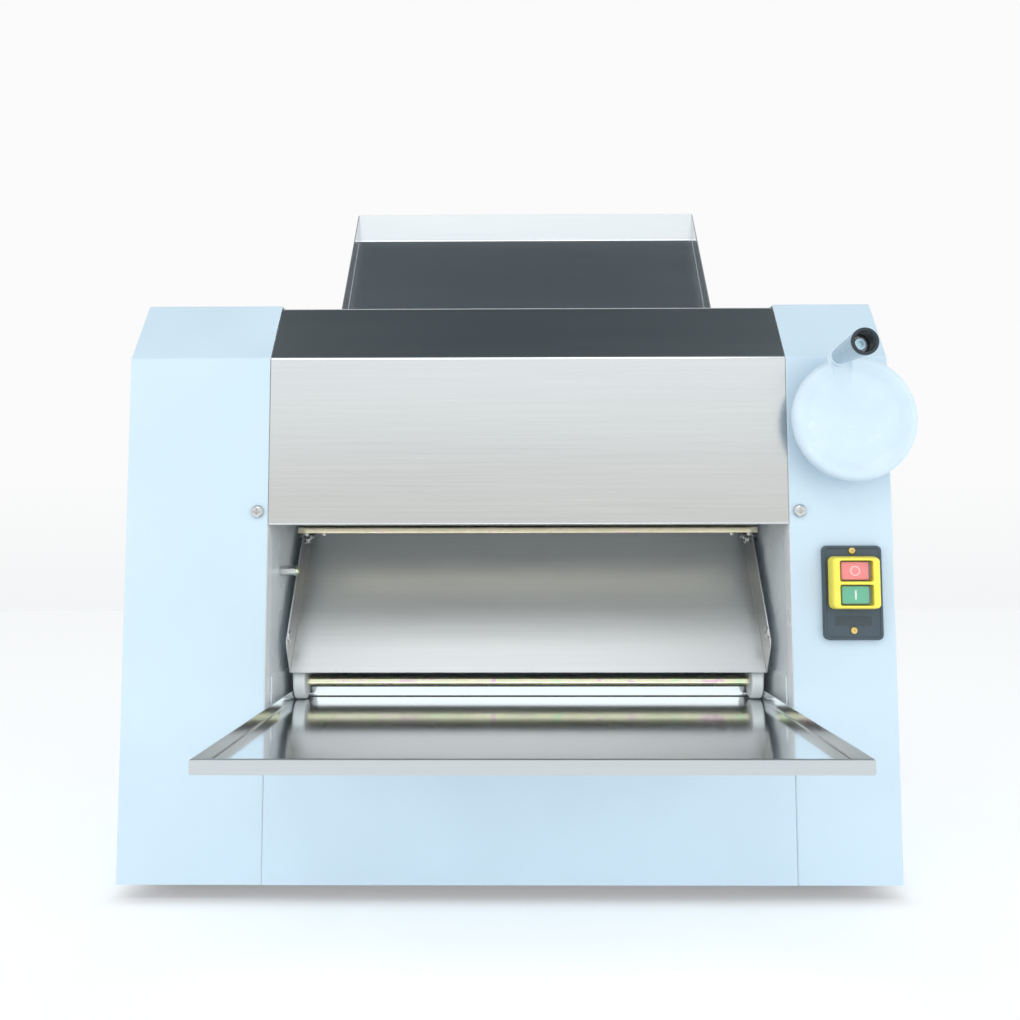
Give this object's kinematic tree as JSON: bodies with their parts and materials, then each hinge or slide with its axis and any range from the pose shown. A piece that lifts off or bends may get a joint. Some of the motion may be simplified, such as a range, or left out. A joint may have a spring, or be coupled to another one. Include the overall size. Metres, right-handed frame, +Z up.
{
  "type": "dough sheeter",
  "caption": "Bench-top dough sheeter: two rollers behind a stainless hood, inclined hopper, swing chute, sliding catch tray, gap handwheel and start/stop switch.",
  "frame": {"origin": "on the worktop under the middle of the machine's outer box, with the tray pulled out", "axes": "+X to the operator's right, +Y from the operator into the machine, +Z up"},
  "size_m": [0.7382, 0.702, 0.743],
  "materials": {
    "painted_steel": "satin powder coat, pale blue-white",
    "brushed_steel": "stainless, brushed",
    "mild_steel": "machined steel, dull",
    "yellow_zinc": "yellow zinc plate",
    "nylon": "white nylon, matt",
    "white_gloss": "white moulded plastic, glossy",
    "grey_handle": "blue-grey moulded plastic, glossy",
    "motor_grey": "dark grey paint",
    "slate_plastic": "dark slate plastic",
    "yellow_plastic": "yellow plastic",
    "red_plastic": "red plastic",
    "green_plastic": "green plastic",
    "rubber": "black rubber"
  },
  "bodies": {
    "frame": {"base_plate": "mild_steel", "cable_gland": "slate_plastic", "drive_chain": "mild_steel", "foot_front_left": "rubber", "foot_front_right": "rubber", "foot_rear_left": "rubber", "foot_rear_right": "rubber", "front_scraper_blade": "brushed_steel", "gearbox": "motor_grey", "hood": "brushed_steel", "hopper": "brushed_steel", "left_block_guide": "mild_steel", "left_front_bearing": "mild_steel", "left_hinge_pin": "mild_steel", "left_housing": "painted_steel", "left_panel_screw": "brushed_steel", "left_side_plate": "painted_steel", "left_tray_rail": "painted_steel", "lower_front_panel": "painted_steel", "lower_tie_bar": "mild_steel", "motor_body": "motor_grey", "motor_shelf": "mild_steel", "rear_cover": "painted_steel", "right_block_guide": "mild_steel", "right_front_bearing": "mild_steel", "right_hinge_pin": "mild_steel", "right_housing": "painted_steel", "right_panel_screw": "brushed_steel", "right_side_plate": "painted_steel", "right_tray_rail": "painted_steel", "scraper_bar": "yellow_zinc", "screw_bracket": "mild_steel", "stop_pin": "brushed_steel", "switch_body": "slate_plastic", "switch_frame": "yellow_plastic", "switch_plate": "slate_plastic", "throat_guard": "brushed_steel", "upper_tie_bar": "mild_steel"},
    "front_roller": {"front_roller": "nylon", "front_gear": "mild_steel", "roller_sprocket": "mild_steel"},
    "carriage": {"left_bearing_block": "mild_steel", "right_bearing_block": "mild_steel", "carriage_bar": "mild_steel", "rear_scraper_blade": "brushed_steel"},
    "rear_roller": {"rear_roller": "nylon", "rear_gear": "mild_steel"},
    "output_sprocket": {"output_sprocket": "mild_steel"},
    "chute": {"chute": "brushed_steel"},
    "wheel_axle": {"wheel_rod": "yellow_zinc", "left_wheel": "nylon", "right_wheel": "nylon"},
    "tray": {"tray": "brushed_steel"},
    "handwheel": {"handwheel": "white_gloss", "handle_bolt": "mild_steel", "adjusting_screw": "mild_steel"},
    "handle_grip": {"handle_grip": "grey_handle"},
    "adjuster_nut": {"adjuster_nut": "mild_steel"},
    "stop_button": {"stop_button": "red_plastic"},
    "start_button": {"start_button": "green_plastic"}
  },
  "joints": [
    {"name": "front_roller_spin", "type": "hinge", "parent": "frame", "child": "front_roller", "pos_m": [0.0101, 0.012, 0.4735], "axis": [1, 0, 0], "continuous": true},
    {"name": "output_spin", "type": "hinge", "parent": "frame", "child": "output_sprocket", "pos_m": [0.0101, 0.237, 0.262], "axis": [1, 0, 0], "continuous": true},
    {"name": "handwheel_turn", "type": "hinge", "parent": "frame", "child": "handwheel", "pos_m": [0.3111, -0.083, 0.44], "axis": [0, 1, 0], "range_deg": [0, 1441]},
    {"name": "handle_spin", "type": "hinge", "parent": "handwheel", "child": "handle_grip", "pos_m": [0.29733, -0.083, 0.49737], "axis": [0, 1, 0], "continuous": true},
    {"name": "nut_travel", "type": "slide", "parent": "frame", "child": "adjuster_nut", "axis": [0, 1, 0], "range_m": [0, 0.0101]},
    {"name": "roller_opening", "type": "slide", "parent": "frame", "child": "carriage", "axis": [0, 0.788, -0.6157], "range_m": [0, 0.008]},
    {"name": "rear_roller_spin", "type": "hinge", "parent": "carriage", "child": "rear_roller", "pos_m": [0.0101, 0.08844, 0.41378], "axis": [1, 0, 0], "continuous": true},
    {"name": "chute_lift", "type": "hinge", "parent": "frame", "child": "chute", "pos_m": [0.0101, 0.06796, 0.33362], "axis": [-1, 0, 0], "range_deg": [0, 14.5]},
    {"name": "tray_slide", "type": "slide", "parent": "frame", "child": "tray", "axis": [0, 1, 0], "range_m": [0, 0.24]},
    {"name": "wheel_roll", "type": "hinge", "parent": "chute", "child": "wheel_axle", "pos_m": [0.0101, 0.003, 0.1886], "axis": [1, 0, 0], "range_deg": [0, 770]},
    {"name": "stop_press", "type": "slide", "parent": "frame", "child": "stop_button", "axis": [0, 1, 0], "range_m": [0, 0.003], "stiffness_N_per_m": 600},
    {"name": "start_press", "type": "slide", "parent": "frame", "child": "start_button", "axis": [0, 1, 0], "range_m": [0, 0.003], "stiffness_N_per_m": 600}
  ],
  "couplings": [
    {"joint": "rear_roller_spin", "follows": "front_roller_spin", "ratio": -1},
    {"joint": "output_spin", "follows": "front_roller_spin", "ratio": 1.5},
    {"joint": "nut_travel", "follows": "roller_opening", "ratio": 1.25},
    {"joint": "handwheel_turn", "follows": "roller_opening", "rad_per_m": 3141.6},
    {"joint": "wheel_roll", "follows": "tray_slide", "rad_per_m": 55.866}
  ]
}
